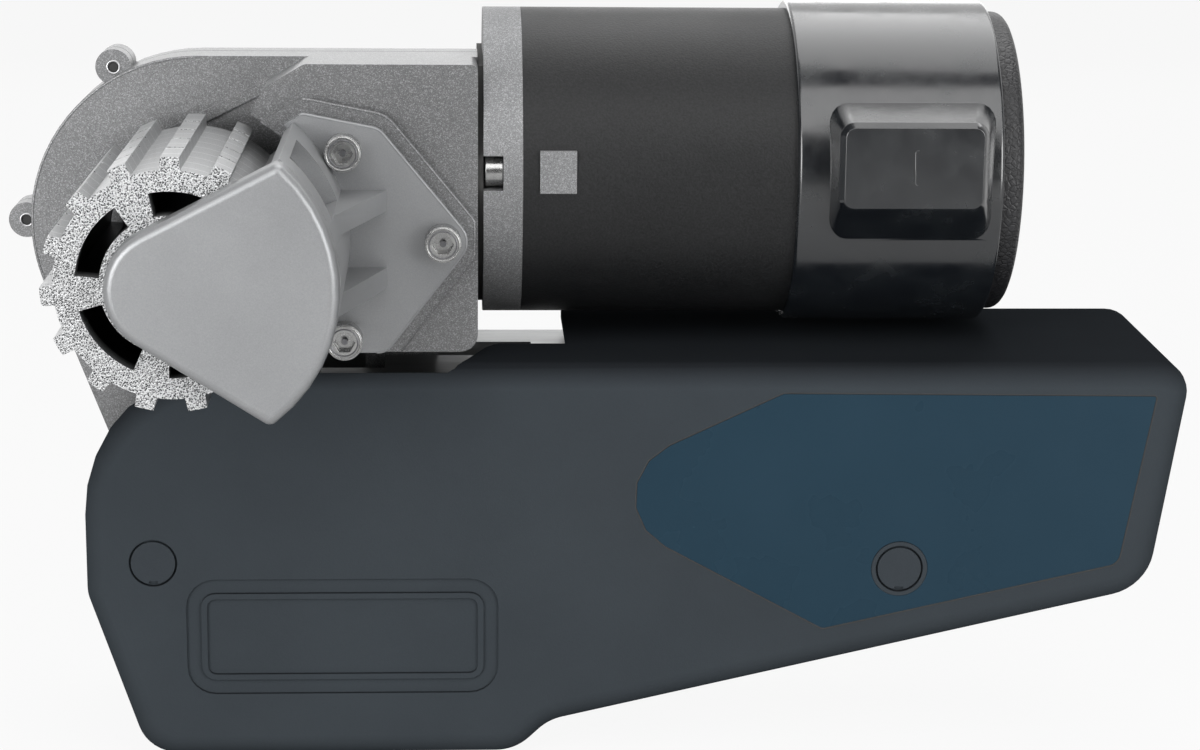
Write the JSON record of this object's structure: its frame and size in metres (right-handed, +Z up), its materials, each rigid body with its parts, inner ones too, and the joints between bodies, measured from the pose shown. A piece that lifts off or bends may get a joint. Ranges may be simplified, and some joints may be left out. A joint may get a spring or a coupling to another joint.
{
  "type": "caravan motor mover",
  "caption": "Motor mover unit: a toothed drive roller on a geared motor rides on parallel swing arms above a moulded cover and bolts to a chassis.",
  "frame": {"origin": "centre of the four chassis bolt holes, on the rear face of the base frame", "axes": "+X along the motor, away from the roller; +Y back, into the chassis; +Z up"},
  "size_m": [0.3339, 0.1674, 0.2115],
  "materials": {
    "zinc_plate": "zinc-plated sheet",
    "cover_plastic": "fine-textured moulded plastic",
    "label_film": "semi-gloss printed film, bare",
    "plug_plastic": "moulded plastic",
    "screw_steel": "bright zinc",
    "pin_steel": "ground steel",
    "spring_steel": "phosphated",
    "actuator_tube": "drawn, satin",
    "gearhead_paint": "satin paint",
    "motor_paint": "fine-textured black paint",
    "arm_casting": "cast, painted grey",
    "bronze": "sintered bronze",
    "gearbox_casting": "metallic sprayed die casting",
    "gasket": "fibre gasket",
    "bracket_casting": "smooth satin die casting",
    "bearing_steel": "ground steel, shielded",
    "seal_rubber": "moulded rubber",
    "end_frame_casting": "turned casting",
    "magnet": "ferrite",
    "cap_plastic": "grained plastic",
    "sleeve_vinyl": "dipped soft vinyl",
    "brass_terminal": "plated brass",
    "brush_board": "laminate board",
    "carbon": "carbon",
    "roller_aluminium": "blasted aluminium",
    "gear_steel": "hobbed, oiled",
    "core_steel": "laminated",
    "copper": "copper"
  },
  "bodies": {
    "base": {"base_frame": "zinc_plate", "cover": "cover_plastic", "cover_label": "label_film", "cover_plugs": "plug_plastic", "cover_screws": "screw_steel", "lower_pivot_pins": "pin_steel", "pin_clips": "spring_steel", "pivot_spacers": "pin_steel", "actuator_saddles": "zinc_plate", "actuator_tube": "actuator_tube", "actuator_gearhead": "gearhead_paint", "actuator_motor": "motor_paint"},
    "arm_left": {"swing_arm_left": "arm_casting", "arm_bushes_left": "bronze", "upper_pin_left": "pin_steel"},
    "arm_right": {"swing_arm_right": "arm_casting", "arm_bushes_right": "bronze", "upper_pin_right": "pin_steel", "lever_pin": "pin_steel"},
    "rod": {"actuator_rod": "pin_steel"},
    "drive_unit": {"gearbox_front": "gearbox_casting", "gearbox_rear": "gearbox_casting", "gearbox_gasket": "gasket", "gearbox_screws": "screw_steel", "lug_bushes": "bronze", "roller_bracket": "bracket_casting", "bracket_screws": "screw_steel", "outer_bush": "bronze", "output_bearings": "bearing_steel", "output_seal": "seal_rubber", "layshaft_bearings": "bearing_steel", "worm_end_bearing": "bearing_steel", "motor_gasket": "gasket", "motor_end_frame": "end_frame_casting", "end_frame_screws": "screw_steel", "motor_tube": "motor_paint", "motor_magnets": "magnet", "motor_through_bolts": "screw_steel", "motor_end_cap": "cap_plastic", "terminal_sleeve": "sleeve_vinyl", "motor_terminals": "brass_terminal", "brush_holder": "brush_board", "carbon_brushes": "carbon", "armature_bearings": "bearing_steel"},
    "roller": {"drive_roller": "roller_aluminium", "roller_shaft": "pin_steel", "output_gear": "gear_steel", "roller_key": "pin_steel", "roller_washer": "pin_steel"},
    "layshaft": {"layshaft": "pin_steel", "pinion": "gear_steel", "worm_wheel": "bronze"},
    "armature": {"motor_shaft": "pin_steel", "worm": "gear_steel", "armature_core": "core_steel", "armature_winding": "copper", "commutator": "copper"}
  },
  "joints": [
    {"name": "arm_left_pivot", "type": "hinge", "parent": "base", "child": "arm_left", "pos_m": [-0.1517, -0.026, -0.0422], "axis": [0, 1, 0], "range_deg": [0, 23]},
    {"name": "arm_right_pivot", "type": "hinge", "parent": "base", "child": "arm_right", "pos_m": [-0.0817, -0.026, -0.0422], "axis": [0, 1, 0], "range_deg": [0, 23]},
    {"name": "drive_pivot", "type": "hinge", "parent": "arm_left", "child": "drive_unit", "pos_m": [-0.16446, -0.026, 0.02051], "axis": [0, 1, 0], "range_deg": [-23, 0]},
    {"name": "actuator_slide", "type": "slide", "parent": "base", "child": "rod", "axis": [1, 0, 0], "range_m": [0, 0.01475]},
    {"name": "armature_spin", "type": "hinge", "parent": "drive_unit", "child": "armature", "pos_m": [-0.02046, -0.024, 0.09402], "axis": [1, 0, 0], "continuous": true},
    {"name": "layshaft_spin", "type": "hinge", "parent": "drive_unit", "child": "layshaft", "pos_m": [-0.0949, -0.024, 0.07201], "axis": [0, 1, 0], "continuous": true},
    {"name": "roller_spin", "type": "hinge", "parent": "drive_unit", "child": "roller", "pos_m": [-0.15046, -0.094, 0.07902], "axis": [0, 1, 0], "continuous": true}
  ],
  "couplings": [
    {"joint": "arm_right_pivot", "follows": "arm_left_pivot", "ratio": 1},
    {"joint": "drive_pivot", "follows": "arm_left_pivot", "ratio": -1},
    {"joint": "actuator_slide", "follows": "arm_left_pivot", "m_per_rad": 0.036752},
    {"joint": "layshaft_spin", "follows": "armature_spin", "ratio": -0.05},
    {"joint": "roller_spin", "follows": "armature_spin", "ratio": 0.016667}
  ]
}
